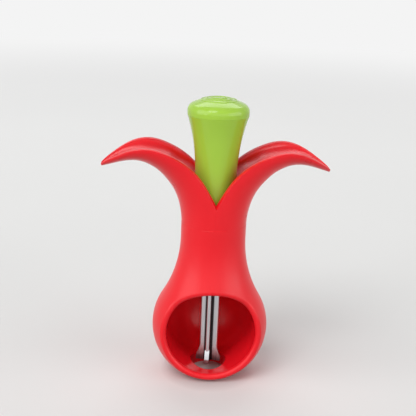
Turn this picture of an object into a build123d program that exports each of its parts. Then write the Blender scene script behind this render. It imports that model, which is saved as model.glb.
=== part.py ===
# Push-plunger cherry pitter: a red flower-shaped grip with a cherry chamber in its bulb,
# and a green plunger that drives four crossed steel prongs through the cherry.
# Frame: +Z up along the plunger, -Y out of the chamber mouth, origin under the middle of the foot.
from build123d import *
from math import acos, asin, cos, degrees, pi, sin, sqrt
import os

os.makedirs("parts", exist_ok=True)

# Clearances
RUN_FIT = 0.08
PRONG_FIT = 0.08
BLADE_FIT = 0.03
SEAT_GAP = 0.1
LOOSE_GAP = 0.3

# Bulb, neck and foot of the flower body
BULB_RADIUS = 21.4
BULB_WALL = 3.0
FOOT_CUT = 1.9
NECK_RADIUS = 11.8
NECK_SWEEP_RADIUS = 44.0
NECK_STRAIGHT = 5.59

# Cherry chamber, bored along Y from the front
CHAMBER_SIDE_WALL = 5.1
CHAMBER_FLOOR = 3.4
MOUTH_ROUND = 1.2
PIT_HOLE_RADIUS = 6.55
PIT_HOLE_ROUND = 0.6

# Prongs
PRONG_RADIUS = 3.45
BLADE_THICKNESS = 1.65
BLADE_EDGE_ROUND = 0.6
PRONG_TIP_Z = 4.3
FOOT_REACH = 1.1
FOOT_HEIGHT = 1.6
FLARE_HEIGHT = 3.0
LAP_Z = 27.2
BLADE_GRIP = 15.0
PRONG_TURN = -10.5

# Prong holder and its pins
ROD_WALL = 0.45
HEAD_HEIGHT = 2.4
KEY_WIDTH = 2.4
KEY_REACH = 0.5
PIN_RADIUS = 0.6
PIN_OFFSET = 2.2
PIN_DROP = 4.0
PIN_STEP = 4.0

# Return spring and its thrust washer
WASHER_THICKNESS = 0.8
SPRING_WIRE = 0.8
SPRING_TURNS = 14

# Storage catch: two lugs inside the stem turn under the hooks of the bush
LUG_HEIGHT = 2.6
LUG_WIDTH = 3.6
LUG_REACH = 1.1
LUG_GAP = 0.25
LUG_RISE = 0.6
CATCH_TURN = 30.0

# Guide bush under the neck bore
ROOF_WALL = 3.2
SPIGOT_WALL = 1.97
SPIGOT_DROP = 4.4
POST_HEIGHT = 8.0

# Plunger stem
STEM_WALL = 1.15
TRUMPET_HEIGHT = 21.4
TRUMPET_TOP_RADIUS = 10.9
TRUMPET_TOP_RISE = 30.4
HEAD_POCKET_WALL = 0.964
CAP_POCKET_WALL = 0.613
CAP_POCKET_DEPTH = 7.5

# Thumb cap
CAP_OVERHANG = 0.05
CAP_RIM_HEIGHT = 1.3
CAP_DOME_HEIGHT = 4.8
CAP_SHOULDER_RADIUS = 3.0
CAP_SKIRT_WALL = 1.4
CAP_TOP_WALL = 2.0
GRIP_RING_RADII = (2.6, 4.4, 6.2)
GRIP_RING_WIRE = 0.22

# Petal stations, from the neck to the tip of one petal.
# Each gives the rim point (out from the axis, up from the V bottom), the keel point
# (out from the neck, up from the V bottom), the half width as a share of the neck's radius,
# the floor wall, the rim wall, and how far the section runs on past the middle plane.
# The first one lies a hair inside the neck, so that its edge is clear of the neck's own.
RIM_CROWN = 0.15
ROOT_DROP = 9.0
PETAL_STATIONS = [
    (-2.0, -ROOT_DROP, -0.06, -ROOT_DROP, 0.995, 4.5, 4.5, 1.325),
    (-1.2, -2.5, 0.2, -6.0, 1.0, 5.0, 4.3, 0.6),
    (0.9, 1.6, 0.8, -2.7, 0.992, 5.5, 4.0, 0.0),
    (3.0, 5.3, 1.8, 0.6, 0.983, 6.6, 3.6, 0.0),
    (5.4, 8.9, 3.4, 3.9, 0.975, 7.6, 3.2, 0.0),
    (8.6, 12.4, 5.8, 7.2, 0.966, 6.5, 2.9, 0.0),
    (14.0, 16.2, 9.2, 10.6, 0.949, 4.8, 2.6, 0.0),
    (20.3, 18.9, 13.5, 13.0, 0.924, 3.2, 2.4, 0.0),
    (25.5, 19.6, 16.8, 13.7, 0.873, 2.6, 2.3, 0.0),
    (30.5, 18.5, 20.1, 13.5, 0.771, 2.3, 2.1, 0.0),
    (35.0, 16.2, 23.3, 12.7, 0.585, 1.8, 1.8, 0.0),
    (38.8, 13.7, 26.6, 11.6, 0.314, 1.2, 1.3, 0.0),
    (40.8, 12.0, 28.7, 10.9, 0.102, 0.6, 0.6, 0.0),
]

# Radii that follow from those above
CHAMBER_RADIUS = BULB_RADIUS - CHAMBER_SIDE_WALL
CHAMBER_BEND_RADIUS = 8.0  # where the bore's side turns into its back
BUSH_BORE_RADIUS = PRONG_RADIUS + PRONG_FIT
ROD_RADIUS = PRONG_RADIUS + ROD_WALL
SPRING_OUTER_RADIUS = ROD_RADIUS + LOOSE_GAP + SPRING_WIRE
STEM_BORE_RADIUS = SPRING_OUTER_RADIUS + LUG_GAP + LUG_REACH
STEM_RADIUS = STEM_BORE_RADIUS + STEM_WALL
BORE_RADIUS = STEM_RADIUS + RUN_FIT
POST_RADIUS = STEM_BORE_RADIUS - RUN_FIT
SPIGOT_RADIUS = BUSH_BORE_RADIUS + SPIGOT_WALL
CAP_RADIUS = TRUMPET_TOP_RADIUS + CAP_OVERHANG

# Heights that follow from those above, from the foot upwards
BULB_CENTRE_Z = BULB_RADIUS - FOOT_CUT
NECK_RISE = sqrt((BULB_RADIUS - NECK_RADIUS) * (BULB_RADIUS + NECK_RADIUS + 2 * NECK_SWEEP_RADIUS))
NECK_Z = BULB_CENTRE_Z + NECK_RISE
PETAL_ROOT_Z = NECK_Z + NECK_STRAIGHT
V_BOTTOM_Z = PETAL_ROOT_Z + ROOT_DROP
CHAMBER_Z = CHAMBER_FLOOR + CHAMBER_RADIUS
SHELF_Z = CHAMBER_Z + CHAMBER_RADIUS + ROOF_WALL
STEM_BOTTOM_Z = SHELF_Z + LOOSE_GAP
POST_TOP_Z = SHELF_Z + POST_HEIGHT
BUSH_BOTTOM_Z = SHELF_Z - SPIGOT_DROP
ROD_BOTTOM_Z = POST_TOP_Z + LOOSE_GAP
BLADE_TOP_Z = ROD_BOTTOM_Z + BLADE_GRIP
FLARE_START_Z = PRONG_TIP_Z + FOOT_HEIGHT + FLARE_HEIGHT
TRAVEL = BUSH_BOTTOM_Z - FLARE_START_Z - LOOSE_GAP
TRUMPET_TOP_Z = V_BOTTOM_Z + TRUMPET_TOP_RISE
TRUMPET_START_Z = TRUMPET_TOP_Z - TRUMPET_HEIGHT
CAP_SEAT_Z = TRUMPET_TOP_Z
HEAD_TOP_Z = TRUMPET_TOP_Z - CAP_POCKET_DEPTH
LEDGE_Z = HEAD_TOP_Z - HEAD_HEIGHT
WASHER_TOP_Z = LEDGE_Z
SPRING_TOP_Z = WASHER_TOP_Z - WASHER_THICKNESS
LUG_BOTTOM_Z = STEM_BOTTOM_Z + LUG_RISE


def at(z):
    """Horizontal plane at the height z."""
    return Plane.XY.offset(z)


def tube(outer, inner, bottom, top):
    """Ring or tube standing between two heights."""
    ring = Circle(outer) - Circle(inner)
    return extrude(at(bottom) * ring, top - bottom)


def disc(radius, bottom, top):
    """Plain round bar between two heights."""
    return extrude(at(bottom) * Circle(radius), top - bottom)


def u_curve(depth, half_width, run_on, spans=8):
    """Smooth U: half an ellipse whose legs run straight on past its centre."""
    points = []
    for step in range(spans + 1):
        angle = pi * (step / spans - 0.5)
        points.append(Vector(depth * cos(angle), half_width * sin(angle)))
    points[0] -= Vector(run_on, 0)
    points[-1] -= Vector(run_on, 0)
    speed = spans * (points[1] - points[0]).length
    ends = [Vector(speed, 0), Vector(-speed, 0)]
    steps = [step / spans for step in range(spans + 1)]
    return Edge.make_spline(points, tangents=ends, parameters=steps, scale=False)


def petal_section(station):
    """Closed U-shaped slice of the petal, from the crown of its rim to its keel."""
    rim_x, rim_up, keel_out, keel_up, width_share, floor_wall, rim_wall, run_on = station
    rim = Vector(rim_x, 0, V_BOTTOM_Z + rim_up)
    keel = Vector(NECK_RADIUS + keel_out, 0, V_BOTTOM_Z + keel_up)
    crown = RIM_CROWN * rim_wall
    along = (keel - rim).normalized()
    centre = rim + along * (crown + run_on)
    depth = (keel - centre).length
    half_width = NECK_RADIUS * width_share
    slice_plane = Plane(origin=centre, x_dir=along, z_dir=along.cross(Vector(0, 1, 0)))
    outside = u_curve(depth, half_width, run_on)
    inside = u_curve(depth - floor_wall, half_width - rim_wall, run_on)
    middle = half_width - rim_wall / 2
    left_rim = ThreePointArc(outside @ 1, (-crown - run_on, middle), inside @ 1)
    right_rim = ThreePointArc(inside @ 0, (-crown - run_on, -middle), outside @ 0)
    return slice_plane * make_face([outside, left_rim, inside, right_rim])


def petal():
    """One petal, cut off at the middle plane where it meets the other."""
    leaf = loft([petal_section(station) for station in PETAL_STATIONS])
    reach = 2 * BULB_RADIUS
    past_middle = Pos(-reach / 2, 0, V_BOTTOM_Z) * Box(reach, reach * 2, reach * 2)
    return leaf - past_middle


def bulb_and_neck():
    """Turned outer shape from the foot to the petal roots."""
    foot_angle = degrees(asin(BULB_CENTRE_Z / BULB_RADIUS))
    foot_radius = sqrt(BULB_RADIUS**2 - BULB_CENTRE_Z**2)
    sweep_x = NECK_RADIUS + NECK_SWEEP_RADIUS
    tilt = degrees(asin(NECK_RISE / (BULB_RADIUS + NECK_SWEEP_RADIUS)))
    bulb = CenterArc((0, BULB_CENTRE_Z), BULB_RADIUS, -foot_angle, foot_angle + tilt)
    sweep_arc = CenterArc((sweep_x, NECK_Z), NECK_SWEEP_RADIUS, 180 + tilt, -tilt)
    neck = Polyline((NECK_RADIUS, NECK_Z), (NECK_RADIUS, PETAL_ROOT_Z), (0, PETAL_ROOT_Z))
    axis_line = Polyline((0, PETAL_ROOT_Z), (0, 0), (foot_radius, 0))
    profile = Plane.XZ * make_face([axis_line, bulb, sweep_arc, neck])
    return revolve(profile, Axis.Z)


def chamber():
    """Room for the cherry: a bore from the front with a rounded back."""
    back = BULB_RADIUS - BULB_WALL
    profile = Pos(0, back) * Rectangle(CHAMBER_RADIUS, back + BULB_RADIUS, align=(Align.MIN, Align.MAX))
    front = Rectangle(2 * BULB_RADIUS, BULB_RADIUS, align=(Align.CENTER, Align.MAX))
    profile = profile & (Circle(back) + front)
    corner = profile.vertices().group_by(Axis.X)[-1].sort_by(Axis.Y)[-1]
    profile = fillet(corner, CHAMBER_BEND_RADIUS)
    return Pos(0, 0, CHAMBER_Z) * revolve(profile, Axis.Y)


def flower_body():
    """The red moulding: foot, bulb, chamber, neck and both petals."""
    leaf = petal()
    bulb = bulb_and_neck() - chamber()
    mouth = bulb.edges().filter_by(lambda edge: edge.bounding_box().max.Y < -PIT_HOLE_RADIUS)
    bulb = fillet(mouth, MOUTH_ROUND)
    bulb -= disc(PIT_HOLE_RADIUS, -1, CHAMBER_Z)
    hole_rim = bulb.edges().filter_by(lambda edge: edge.bounding_box().max.Z < CHAMBER_Z / 2)
    hole_rim = hole_rim.filter_by(lambda edge: edge.bounding_box().min.Z > PIT_HOLE_ROUND)
    bulb = fillet(hole_rim, PIT_HOLE_ROUND)
    body = bulb + leaf + mirror(leaf, Plane.YZ)
    body -= disc(BORE_RADIUS, SHELF_Z, TRUMPET_TOP_Z)
    body -= disc(SPIGOT_RADIUS, CHAMBER_Z, SHELF_Z + 1)
    return body


def catch_track():
    """L-shaped path of one lug in the guide bush: down the groove, then round."""
    low = LUG_BOTTOM_Z - LOOSE_GAP
    high = LUG_BOTTOM_Z + LUG_HEIGHT + LOOSE_GAP
    depth_radius = STEM_BORE_RADIUS - LUG_REACH - LOOSE_GAP / 2
    width = LUG_WIDTH + 2 * LOOSE_GAP
    reach = Pos(STEM_RADIUS, 0) * Rectangle(2 * STEM_RADIUS, width)
    slot = reach - Circle(depth_radius)
    path = extrude(at(low) * slot, POST_TOP_Z + 1 - low)
    turns = 6
    for step in range(1, turns + 1):
        turned = Rot(0, 0, CATCH_TURN * step / turns) * slot
        path += extrude(at(low) * turned, high - low)
    return path


def guide_bush():
    """White bush at the foot of the neck bore: prong guide, spring seat and catch."""
    bush = disc(POST_RADIUS, SHELF_Z, POST_TOP_Z)
    bush += disc(SPIGOT_RADIUS, BUSH_BOTTOM_Z, SHELF_Z)
    bush -= disc(BUSH_BORE_RADIUS, BUSH_BOTTOM_Z - 1, POST_TOP_Z + 1)
    track = catch_track()
    return bush - track - Rot(0, 0, 180) * track


def flare_radius():
    """Radius of the arc that the trumpet's outline follows."""
    flare = TRUMPET_TOP_RADIUS - STEM_RADIUS
    return (TRUMPET_HEIGHT**2 + flare**2) / (2 * flare)


def trumpet_radius(z):
    """Outer radius of the trumpet at the height z."""
    rise = z - TRUMPET_START_Z
    return STEM_RADIUS + flare_radius() - sqrt(flare_radius() ** 2 - rise**2)


HEAD_POCKET_RADIUS = trumpet_radius(LEDGE_Z) - HEAD_POCKET_WALL
CAP_POCKET_RADIUS = trumpet_radius(HEAD_TOP_Z) - CAP_POCKET_WALL


def plunger_stem():
    """Green hollow stem with its trumpet top and the two catch lugs inside."""
    tilt = degrees(asin(TRUMPET_HEIGHT / flare_radius()))
    arc_x = STEM_RADIUS + flare_radius()
    outside = CenterArc((arc_x, TRUMPET_START_Z), flare_radius(), 180, -tilt)
    lines = Polyline(
        outside @ 1,
        (0, TRUMPET_TOP_Z),
        (0, STEM_BOTTOM_Z),
        (STEM_RADIUS, STEM_BOTTOM_Z),
        outside @ 0,
    )
    stem = revolve(Plane.XZ * make_face([outside, lines]), Axis.Z)
    stem -= disc(STEM_BORE_RADIUS, STEM_BOTTOM_Z - 1, LEDGE_Z + 1)
    stem -= disc(HEAD_POCKET_RADIUS, LEDGE_Z, HEAD_TOP_Z)
    stem -= disc(CAP_POCKET_RADIUS, HEAD_TOP_Z, TRUMPET_TOP_Z + 1)
    stem -= head_keys(RUN_FIT)
    lug = Pos(STEM_RADIUS / 2 + STEM_BORE_RADIUS / 2, 0) * Rectangle(STEM_RADIUS * 2, LUG_WIDTH)
    lug = lug & (Circle((STEM_BORE_RADIUS + STEM_RADIUS) / 2) - Circle(STEM_BORE_RADIUS - LUG_REACH))
    lug = extrude(at(LUG_BOTTOM_Z) * lug, LUG_HEIGHT)
    return stem + lug + Rot(0, 0, 180) * lug


def head_keys(gap):
    """The two keys that make the prong holder turn with the stem."""
    length = 2 * (HEAD_POCKET_RADIUS + KEY_REACH + gap)
    bar = Rectangle(length, KEY_WIDTH + 2 * gap)
    return extrude(at(LEDGE_Z) * bar, HEAD_HEIGHT)


def cross_slots():
    """Room for the two blades in the lower end of the rod."""
    slot = Rectangle(4 * ROD_RADIUS, BLADE_THICKNESS + 2 * BLADE_FIT)
    top = BLADE_TOP_Z + BLADE_FIT
    slots = extrude(at(ROD_BOTTOM_Z - 1) * slot, top - ROD_BOTTOM_Z + 1)
    slots += Rot(0, 0, 90) * slots
    return Rot(0, 0, PRONG_TURN) * slots


def pin(turn, z):
    """One cross pin beside the axis of the rod."""
    chord = sqrt(ROD_RADIUS**2 - PIN_OFFSET**2) - 2 * BLADE_FIT
    bar = Plane.XZ.offset(-chord) * Pos(PIN_OFFSET, z) * Circle(PIN_RADIUS)
    return Rot(0, 0, PRONG_TURN + turn) * extrude(bar, 2 * chord)


def pins():
    """The pair of pins that hold the blades, one through each."""
    first = BLADE_TOP_Z - PIN_DROP
    return [pin(0, first), pin(90, first - PIN_STEP)]


def prong_holder():
    """Moulded rod that carries the blades down inside the spring."""
    holder = disc(ROD_RADIUS, ROD_BOTTOM_Z, HEAD_TOP_Z)
    holder += disc(HEAD_POCKET_RADIUS - RUN_FIT, LEDGE_Z, HEAD_TOP_Z)
    holder += head_keys(0)
    holder -= cross_slots()
    for one in pins():
        holder -= one
    return holder


def blade_blank():
    """One prong strip with a flared foot at each lower corner."""
    foot_x = PRONG_RADIUS + FOOT_REACH
    foot_top = PRONG_TIP_Z + FOOT_HEIGHT
    half = Polyline(
        (0, PRONG_TIP_Z),
        (foot_x, PRONG_TIP_Z),
        (foot_x, foot_top),
        (PRONG_RADIUS, FLARE_START_Z),
        (PRONG_RADIUS, BLADE_TOP_Z),
        (0, BLADE_TOP_Z),
        close=True,
    )
    half = make_face(half)
    outline = Plane.XZ * (half + mirror(half, Plane.YZ))
    blank = extrude(outline, BLADE_THICKNESS / 2, both=True)
    long_edges = blank.edges().filter_by(Axis.Z).filter_by(lambda e: e.length > FOOT_HEIGHT * 2)
    blank = fillet(long_edges, BLADE_EDGE_ROUND)
    return blank


def prong_blade(turn, slot_bottom, slot_top, pin_solid):
    """One blade with its half-lap slot and pin hole, turned to its place."""
    width = BLADE_THICKNESS + 2 * BLADE_FIT
    slot = extrude(at(slot_bottom) * Rectangle(width, 2 * BLADE_THICKNESS), slot_top - slot_bottom)
    blade = blade_blank() - slot
    blade = Rot(0, 0, PRONG_TURN + turn) * blade
    return blade - pin_solid


def return_spring():
    """Round-wire coil spring round the rod, from the bush to the thrust washer."""
    bottom = POST_TOP_Z + SPRING_WIRE / 2
    height = SPRING_TOP_Z - SPRING_WIRE / 2 - bottom
    mean_radius = SPRING_OUTER_RADIUS - SPRING_WIRE / 2
    path = Pos(0, 0, bottom) * Helix(height / SPRING_TURNS, height, mean_radius)
    start = Plane(origin=path @ 0, z_dir=path % 0)
    return sweep(start * Circle(SPRING_WIRE / 2), path=path)


def thrust_washer():
    """Flat washer that lets the plunger turn without winding the spring."""
    return tube(STEM_BORE_RADIUS - RUN_FIT, ROD_RADIUS + RUN_FIT, SPRING_TOP_Z, WASHER_TOP_Z)


def thumb_cap():
    """Green domed cap with its skirt plugged into the trumpet."""
    rim_z = CAP_SEAT_Z + CAP_RIM_HEIGHT
    inset = CAP_RADIUS - CAP_SHOULDER_RADIUS
    lift = CAP_DOME_HEIGHT - CAP_SHOULDER_RADIUS
    crown_radius = (inset**2 + lift**2) / (2 * lift) + CAP_SHOULDER_RADIUS
    crown_z = rim_z + CAP_DOME_HEIGHT - crown_radius
    turn = degrees(acos(inset / (crown_radius - CAP_SHOULDER_RADIUS)))
    shoulder = CenterArc((inset, rim_z), CAP_SHOULDER_RADIUS, 0, turn)
    crown = CenterArc((0, crown_z), crown_radius, turn, 90 - turn)
    base = Polyline(
        (0, rim_z + CAP_DOME_HEIGHT),
        (0, CAP_SEAT_Z),
        (TRUMPET_TOP_RADIUS, CAP_SEAT_Z),
        (CAP_RADIUS, rim_z),
    )
    cap = revolve(Plane.XZ * make_face([shoulder, crown, base]), Axis.Z)
    skirt_bottom = HEAD_TOP_Z + SEAT_GAP
    skirt_radius = CAP_POCKET_RADIUS - RUN_FIT
    cap += tube(skirt_radius, skirt_radius - CAP_SKIRT_WALL, skirt_bottom, CAP_SEAT_Z)
    cap -= disc(skirt_radius - CAP_SKIRT_WALL, CAP_SEAT_Z - 1, CAP_SEAT_Z + CAP_TOP_WALL)
    for radius in GRIP_RING_RADII:
        height = crown_z + sqrt(crown_radius**2 - radius**2)
        cap += Pos(0, 0, height) * Torus(radius, GRIP_RING_WIRE)
    return cap


def write(name, shape):
    """Write one node to its own file."""
    export_step(shape, f"parts/{name}.step")


PINS = pins()
write("flower_body", flower_body())
write("guide_bush", guide_bush())
write("return_spring", return_spring())
write("thrust_washer", thrust_washer())
write("plunger_stem", plunger_stem())
write("thumb_cap", thumb_cap())
write("prong_holder", prong_holder())
write("prong_blade_side", prong_blade(0, PRONG_TIP_Z - 1, LAP_Z, PINS[0]))
write("prong_blade_front", prong_blade(90, LAP_Z, BLADE_TOP_Z + 1, PINS[1]))
write("blade_pins", Compound(PINS))
print("plunger travel", round(TRAVEL, 3))
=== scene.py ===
import math

import bpy
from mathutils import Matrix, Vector

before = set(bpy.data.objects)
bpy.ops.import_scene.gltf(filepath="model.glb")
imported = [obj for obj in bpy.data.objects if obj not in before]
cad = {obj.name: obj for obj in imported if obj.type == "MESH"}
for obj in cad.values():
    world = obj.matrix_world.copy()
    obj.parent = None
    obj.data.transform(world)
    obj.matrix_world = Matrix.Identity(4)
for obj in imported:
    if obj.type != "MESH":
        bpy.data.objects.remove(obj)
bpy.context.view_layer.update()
bpy.ops.object.select_all(action="DESELECT")

# Flower body
# The red grip, one injection moulding in ABS: a round bulb that is open at the front for the
# cherry, a waisted neck and two petals for the fingers. Its outside has a fine satin skin from
# the eroded mould. The petals are glossier, and the chamber is polished.
MM = 0.001


def linear(hex_value):
    """An sRGB hex colour as linear red, green, blue and alpha."""
    shares = [int(hex_value[start : start + 2], 16) / 255 for start in (1, 3, 5)]
    return (*(s / 12.92 if s <= 0.04045 else ((s + 0.055) / 1.055) ** 2.4 for s in shares), 1.0)


def node(tree, kind, values=None, links=None, **properties):
    """Add a shader node: its properties, the values of its inputs, and links to (node, output)."""
    made = tree.nodes.new("ShaderNode" + kind)
    for name, value in properties.items():
        setattr(made, name, value)
    for name, value in (values or {}).items():
        made.inputs[name].default_value = value
    for name, (source, output) in (links or {}).items():
        tree.links.new(source.outputs[output], made.inputs[name])
    return made


def empty_material(name):
    """A material with no nodes yet, and its tree."""
    material = bpy.data.materials.new(name)
    material.use_nodes = True
    material.node_tree.nodes.clear()
    return material, material.node_tree


def moulded_plastic(name, light, dark, roughness, spread, polish=None):
    """Moulded ABS: even colour under a skin that is a little duller and wavier in places.

    polish(tree, place) gives the (node, output) that is 1 where the mould was polished.
    """
    flow_size = 14 * MM
    grain_size = 0.5 * MM
    grain_depth = 0.02 * MM
    edge_round = 0.2 * MM
    polished_share = 0.55

    material, tree = empty_material(name)
    place = node(tree, "TexCoord")
    surface = {"Vector": (place, "Object")}
    # the melt's flow shows as faint patches, where the noise goes from 0.3 to 0.7
    flow = node(tree, "TexNoise", {"Scale": 1 / flow_size, "Detail": 2.0}, surface)
    colours = {"Color1": linear(dark), "Color2": linear(light)}
    tint = node(tree, "MixRGB", colours, {"Fac": (flow, "Fac")})
    duller = {
        "From Min": 0.3,
        "From Max": 0.7,
        "To Min": roughness - spread,
        "To Max": roughness + spread,
    }
    gloss = node(tree, "MapRange", duller, {"Value": (flow, "Fac")})
    if polish:
        # a polished mould takes the roughness down to a share of what it is
        share = {1: polished_share}
        bright = node(tree, "Math", share, {0: (gloss, "Result")}, operation="MULTIPLY")
        mixed = {
            "Value": polish(tree, place),
            "To Min": (gloss, "Result"),
            "To Max": (bright, "Value"),
        }
        gloss = node(tree, "MapRange", links=mixed)
    # the mould's grain is finer than a pixel, and drawn coarser so that it breaks the highlights
    grain = node(tree, "TexNoise", {"Scale": 1 / grain_size, "Detail": 3.0}, surface)
    relief = {"Strength": 0.12, "Distance": grain_depth}
    skin = node(tree, "Bump", relief, {"Height": (grain, "Fac")})
    # no moulded edge is sharp: the light catches it over this much
    edge = node(tree, "Bevel", {"Radius": edge_round}, {"Normal": (skin, "Normal")})
    plastic = node(
        tree,
        "BsdfPrincipled",
        {"IOR": 1.53, "Specular IOR Level": 0.3},
        {
            "Base Color": (tint, "Color"),
            "Roughness": (gloss, "Result"),
            "Normal": (edge, "Normal"),
        },
    )
    node(tree, "OutputMaterial", links={"Surface": (plastic, "BSDF")})
    return material


def polished_places(tree, place):
    """1 in the chamber, whose core pin is polished, 0.4 on the petals and 0 on the rest."""
    chamber_height = 19.7 * MM
    past_back = {"From Min": 18.8 * MM, "From Max": 19.2 * MM}
    past_bore = {"From Min": 16.4 * MM, "From Max": 16.8 * MM}
    up_petals = {"From Min": 56 * MM, "From Max": 66 * MM, "To Min": 0.0, "To Max": 0.4}
    falling = {"To Min": 1.0, "To Max": 0.0}

    # the chamber is a bore along Y with a round back, so it is both near its axis and its middle
    middle = {1: (0, 0, -chamber_height)}
    about = node(tree, "VectorMath", middle, {0: (place, "Object")}, operation="ADD")
    depth = node(tree, "VectorMath", links={0: (about, "Vector")}, operation="LENGTH")
    flat = {1: (1, 0, 1)}
    across = node(tree, "VectorMath", flat, {0: (about, "Vector")}, operation="MULTIPLY")
    width = node(tree, "VectorMath", links={0: (across, "Vector")}, operation="LENGTH")
    ball = node(tree, "MapRange", past_back | falling, {"Value": (depth, "Value")})
    bore = node(tree, "MapRange", past_bore | falling, {"Value": (width, "Value")})
    inside = {0: (ball, "Result"), 1: (bore, "Result")}
    chamber = node(tree, "Math", links=inside, operation="MULTIPLY")
    height = node(tree, "SeparateXYZ", links={"Vector": (place, "Object")})
    petals = node(tree, "MapRange", up_petals, {"Value": (height, "Z")})
    either = {0: (chamber, "Value"), 1: (petals, "Result")}
    return node(tree, "Math", links=either, operation="MAXIMUM"), "Value"


moulded_red = moulded_plastic(
    "moulded_abs_red", "#E61824", "#DC121E", roughness=0.36, spread=0.05, polish=polished_places
)


def dress(piece, material):
    """Give the whole piece one material."""
    piece.data.materials.clear()
    piece.data.materials.append(material)


dress(cad["flower_body"], moulded_red)

# Guide bush
# A white acetal moulding, pressed into the bottom of the neck's bore. It guides the prongs, seats
# the spring and holds the catch. Acetal is waxy and a little milky, with a dull even sheen.
milky_acetal, tree = empty_material("moulded_acetal_white")
place = node(tree, "TexCoord")
cloud_size = 3 * MM
cloud = node(
    tree, "TexNoise", {"Scale": 1 / cloud_size, "Detail": 2.0}, {"Vector": (place, "Object")}
)
milky = {"Color1": linear("#E2E0D6"), "Color2": linear("#ECEBE3")}
tint = node(tree, "MixRGB", milky, {"Fac": (cloud, "Fac")})
sheen = node(tree, "MapRange", {"To Min": 0.38, "To Max": 0.5}, {"Value": (cloud, "Fac")})
acetal = node(
    tree,
    "BsdfPrincipled",
    {"IOR": 1.48},
    {"Base Color": (tint, "Color"), "Roughness": (sheen, "Result")},
)
node(tree, "OutputMaterial", links={"Surface": (acetal, "BSDF")})
dress(cad["guide_bush"], milky_acetal)

# Return spring and thrust washer
# A coil of drawn spring steel round the rod, which lifts the plunger, and an acetal washer that
# lets the plunger turn on it. The die leaves fine lines along the wire and a bright, hard look.
drawn_wire, tree = empty_material("drawn_spring_steel")
place = node(tree, "TexCoord")
streak_size = 0.3 * MM
streak = node(
    tree, "TexNoise", {"Scale": 1 / streak_size, "Detail": 2.0}, {"Vector": (place, "Object")}
)
greys = {"Color1": linear("#8E8F92"), "Color2": linear("#A9AAAD")}
tint = node(tree, "MixRGB", greys, {"Fac": (streak, "Fac")})
sheen = node(tree, "MapRange", {"To Min": 0.22, "To Max": 0.36}, {"Value": (streak, "Fac")})
wire = node(
    tree,
    "BsdfPrincipled",
    {"Metallic": 1.0},
    {"Base Color": (tint, "Color"), "Roughness": (sheen, "Result")},
)
node(tree, "OutputMaterial", links={"Surface": (wire, "BSDF")})
dress(cad["return_spring"], drawn_wire)
dress(cad["thrust_washer"], milky_acetal)

# Prong holder
# The acetal rod that carries the prongs down inside the spring, keyed into the stem's head.
# It is the same milky moulding as the bush.
dress(cad["prong_holder"], milky_acetal)

# Prongs
# Two strips of stainless steel, half-lapped into a cross and pinned in the rod, with four flared
# feet. The strips are linished along their length, which gives long soft streaks.
linished_steel, tree = empty_material("linished_stainless_steel")
place = node(tree, "TexCoord")
belt_pitch = 0.12 * MM
belt_run = 12 * MM
along = node(
    tree,
    "Mapping",
    {"Scale": (1 / belt_pitch, 1 / belt_pitch, 1 / belt_run)},
    {"Vector": (place, "Object")},
)
lines = node(tree, "TexNoise", {"Scale": 1.0, "Detail": 3.0}, {"Vector": (along, "Vector")})
steels = {"Color1": linear("#B4B5B9"), "Color2": linear("#D8D9DC")}
ground = node(tree, "MixRGB", steels, {"Fac": (lines, "Fac")})
# painted shade: the corners of the cross are painted dark as shade in them, and the front strip's
# sides as a painted dark reflection; the cross stands turned on its axis, so it is turned back to
# measure along its arms
cross_turn = math.radians(10.5)
past_corner = {"From Min": 1.5 * MM, "From Max": 1.75 * MM}
past_side = {"From Min": 3.2 * MM, "From Max": 3.35 * MM}
turned = node(tree, "Mapping", {"Rotation": (0, 0, cross_turn)}, {"Vector": (place, "Object")})
bare = node(tree, "VectorMath", links={0: (turned, "Vector")}, operation="ABSOLUTE")
sides = node(tree, "SeparateXYZ", links={"Vector": (bare, "Vector")})
off_corner = node(tree, "MapRange", past_corner, {"Value": (sides, "X")})
off_side = node(tree, "MapRange", past_side, {"Value": (sides, "Y")})
off_either = {0: (off_corner, "Result"), 1: (off_side, "Result")}
clear_of_corner_shade = node(tree, "Math", links=off_either, operation="MAXIMUM")
# painted shade: from 10 mm high down to 5 mm the steel is painted darker, as shade down in the pit
# hole
up_feet = {"From Min": 5 * MM, "From Max": 10 * MM, "To Min": 0.4, "To Max": 1.0}
above = node(tree, "MapRange", up_feet, {"Value": (sides, "Z")})
clear_parts = {0: (clear_of_corner_shade, "Value"), 1: (above, "Result")}
unshaded_share = node(tree, "Math", links=clear_parts, operation="MULTIPLY")
# painted shade and painted dark reflection: where the share falls, the steel goes towards this
# dark grey
tint = node(
    tree,
    "MixRGB",
    {"Color1": linear("#3A3336")},
    {"Color2": (ground, "Color"), "Fac": (unshaded_share, "Value")},
)
sheen = node(tree, "MapRange", {"To Min": 0.2, "To Max": 0.42}, {"Value": (lines, "Fac")})
scratch_depth = 0.01 * MM
scratch = node(
    tree, "Bump", {"Strength": 0.2, "Distance": scratch_depth}, {"Height": (lines, "Fac")}
)
steel = node(
    tree,
    "BsdfPrincipled",
    {"Metallic": 1.0},
    {
        "Base Color": (tint, "Color"),
        "Roughness": (sheen, "Result"),
        "Normal": (scratch, "Normal"),
    },
)
node(tree, "OutputMaterial", links={"Surface": (steel, "BSDF")})
for name in ("prong_blade_side", "prong_blade_front", "blade_pins"):
    dress(cad[name], linished_steel)

# Plunger stem
# The green hollow stem, moulded in ABS, with a trumpet top that the cap plugs into. Its mould was
# polished, so it takes clear reflections.
polished_green = moulded_plastic(
    "moulded_abs_green_polished", "#A3CA45", "#97C039", roughness=0.13, spread=0.02
)
dress(cad["plunger_stem"], polished_green)

# Thumb cap
# The domed cap that the thumb presses, moulded in the stem's green ABS and plugged into the
# trumpet. Three shallow rings on its crown stop the thumb from slipping.
dress(cad["thumb_cap"], polished_green)

# Table, lamps and camera
# A plain pale table top in a pale room, under soft boxes at the left, right, front and back and a
# soft sun. The camera has the photograph's place and angle.
bpy.ops.mesh.primitive_plane_add(size=12.0)
table = bpy.context.object
table.name = "table_top"
ROOM_WHITE = linear("#F4F4F4")


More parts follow.
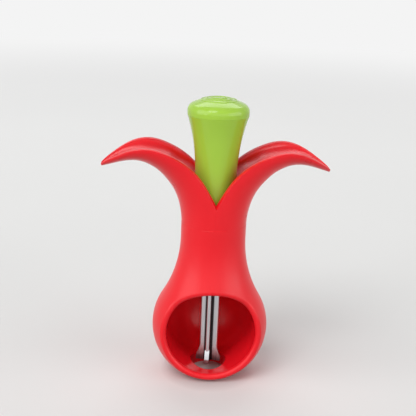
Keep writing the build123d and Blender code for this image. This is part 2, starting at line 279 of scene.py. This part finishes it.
def background_rays(tree, ray):
    """1 for the rays that see the background: from the camera, off a gloss or through glass."""
    seen_or_glossy = {0: (ray, "Is Camera Ray"), 1: (ray, "Is Glossy Ray")}
    gloss = node(tree, "Math", links=seen_or_glossy, operation="MAXIMUM")
    or_through = {0: (gloss, "Value"), 1: (ray, "Is Transmission Ray")}
    return node(tree, "Math", links=or_through, operation="MAXIMUM")


pale_table, tree = empty_material("matt_white_laminate")
place = node(tree, "TexCoord")
cloud = node(tree, "TexNoise", {"Scale": 6.0}, {"Vector": (place, "Object")})
whites = {"Color1": linear("#E4E4E3"), "Color2": linear("#E8E8E7")}
tint = node(tree, "MixRGB", whites, {"Fac": (cloud, "Fac")})
# as background it is white, while it throws back less light on the object, as a grey one does
grey_share = 0.6
ray = node(tree, "LightPath")
seen = background_rays(tree, ray)
away = node(tree, "VectorMath", links={0: (place, "Object")}, operation="LENGTH")
# painted shadow: under the foot it is that grey for every ray, so that the pit hole looks down on
# a darker patch
past_foot = {"From Min": 9 * MM, "From Max": 18 * MM}
past_painted_shadow = node(tree, "MapRange", past_foot, {"Value": (away, "Value")})
seen_outside = {0: (seen, "Value"), 1: (past_painted_shadow, "Result")}
white = node(tree, "Math", links=seen_outside, operation="MULTIPLY")
shade = node(tree, "MapRange", {"To Min": grey_share, "To Max": 1.0}, {"Value": (white, "Value")})
shaded = {0: (tint, "Color"), "Scale": (shade, "Result")}
tone = node(tree, "VectorMath", links=shaded, operation="SCALE")
matt = node(tree, "BsdfDiffuse", links={"Color": (tone, "Vector")})
# from 0.15 to 1.2 m away it fades into the white of the room
glow = node(tree, "Emission", {"Color": ROOM_WHITE})
far = {"From Min": 0.15, "From Max": 1.2}
distance = node(
    tree, "MapRange", far, {"Value": (away, "Value")}, interpolation_type="SMOOTHSTEP"
)
seen_far = {0: (distance, "Result"), 1: (seen, "Value")}
fade = node(tree, "Math", links=seen_far, operation="MULTIPLY")
mixed = {"Fac": (fade, "Value"), 1: (matt, "BSDF"), 2: (glow, "Emission")}
top = node(tree, "MixShader", links=mixed)
node(tree, "OutputMaterial", links={"Surface": (top, "Shader")})
dress(table, pale_table)

OBJECT_MIDDLE = Vector((0, 0, 0.06))


def softbox(name, place, wide, high, radiance):
    """A soft lamp that faces the middle of the object, of an even brightness over its face."""
    lamp = bpy.data.lights.new(name, "AREA")
    lamp.shape = "RECTANGLE"
    lamp.size = wide
    lamp.size_y = high
    lamp.energy = radiance * math.pi * wide * high
    made = bpy.data.objects.new(name, lamp)
    bpy.context.scene.collection.objects.link(made)
    made.location = place
    made.rotation_euler = (OBJECT_MIDDLE - Vector(place)).to_track_quat("-Z", "Y").to_euler()


softbox("left_box", place=(-2.0, -0.95, 0.95), wide=2.2, high=2.0, radiance=2.7)
softbox("right_box", place=(2.1, -1.1, 0.5), wide=2.4, high=2.0, radiance=2.7)
softbox("front_box", place=(0.0, -2.25, 0.5), wide=2.8, high=1.6, radiance=1.0)
softbox("back_box", place=(0.0, 0.5, 0.66), wide=0.9, high=0.3, radiance=2.3)

day = bpy.data.lights.new("soft_day", "SUN")
day.energy = 1.1
day.angle = math.radians(30)
sun = bpy.data.objects.new("soft_day", day)
bpy.context.scene.collection.objects.link(sun)
sun.rotation_euler = (math.radians(40), 0, math.radians(-30))

# the room is seen as white, and lights the object at a much lower level
room_light = 0.17
sky = bpy.data.worlds.new("pale_room")
sky.use_nodes = True
room = sky.node_tree
room.nodes.clear()
ray = node(room, "LightPath")
seen = background_rays(room, ray)
level = node(room, "MapRange", {"To Min": room_light, "To Max": 1.0}, {"Value": (seen, "Value")})
wall = node(room, "Background", {"Color": ROOM_WHITE}, {"Strength": (level, "Result")})
node(room, "OutputWorld", links={"Surface": (wall, "Background")})
bpy.context.scene.world = sky

# the photograph is 416 pixels wide, and its focal length came out at 850 of them
photo_width = 416
focal_length = 850
down_degrees = 16.99
right_degrees = 3.15
roll_degrees = 2.37
lens = bpy.data.cameras.new("photo_view")
lens.lens = lens.sensor_width * focal_length / photo_width
camera = bpy.data.objects.new("photo_view", lens)
bpy.context.scene.collection.objects.link(camera)
camera.location = (-18.44 * MM, -293.06 * MM, 154.03 * MM)
camera.rotation_euler = (math.radians(90 - down_degrees), 0, math.radians(-right_degrees))
camera.rotation_euler.rotate_axis("Z", math.radians(roll_degrees))
bpy.context.scene.camera = camera
bpy.context.scene.view_settings.view_transform = "Standard"
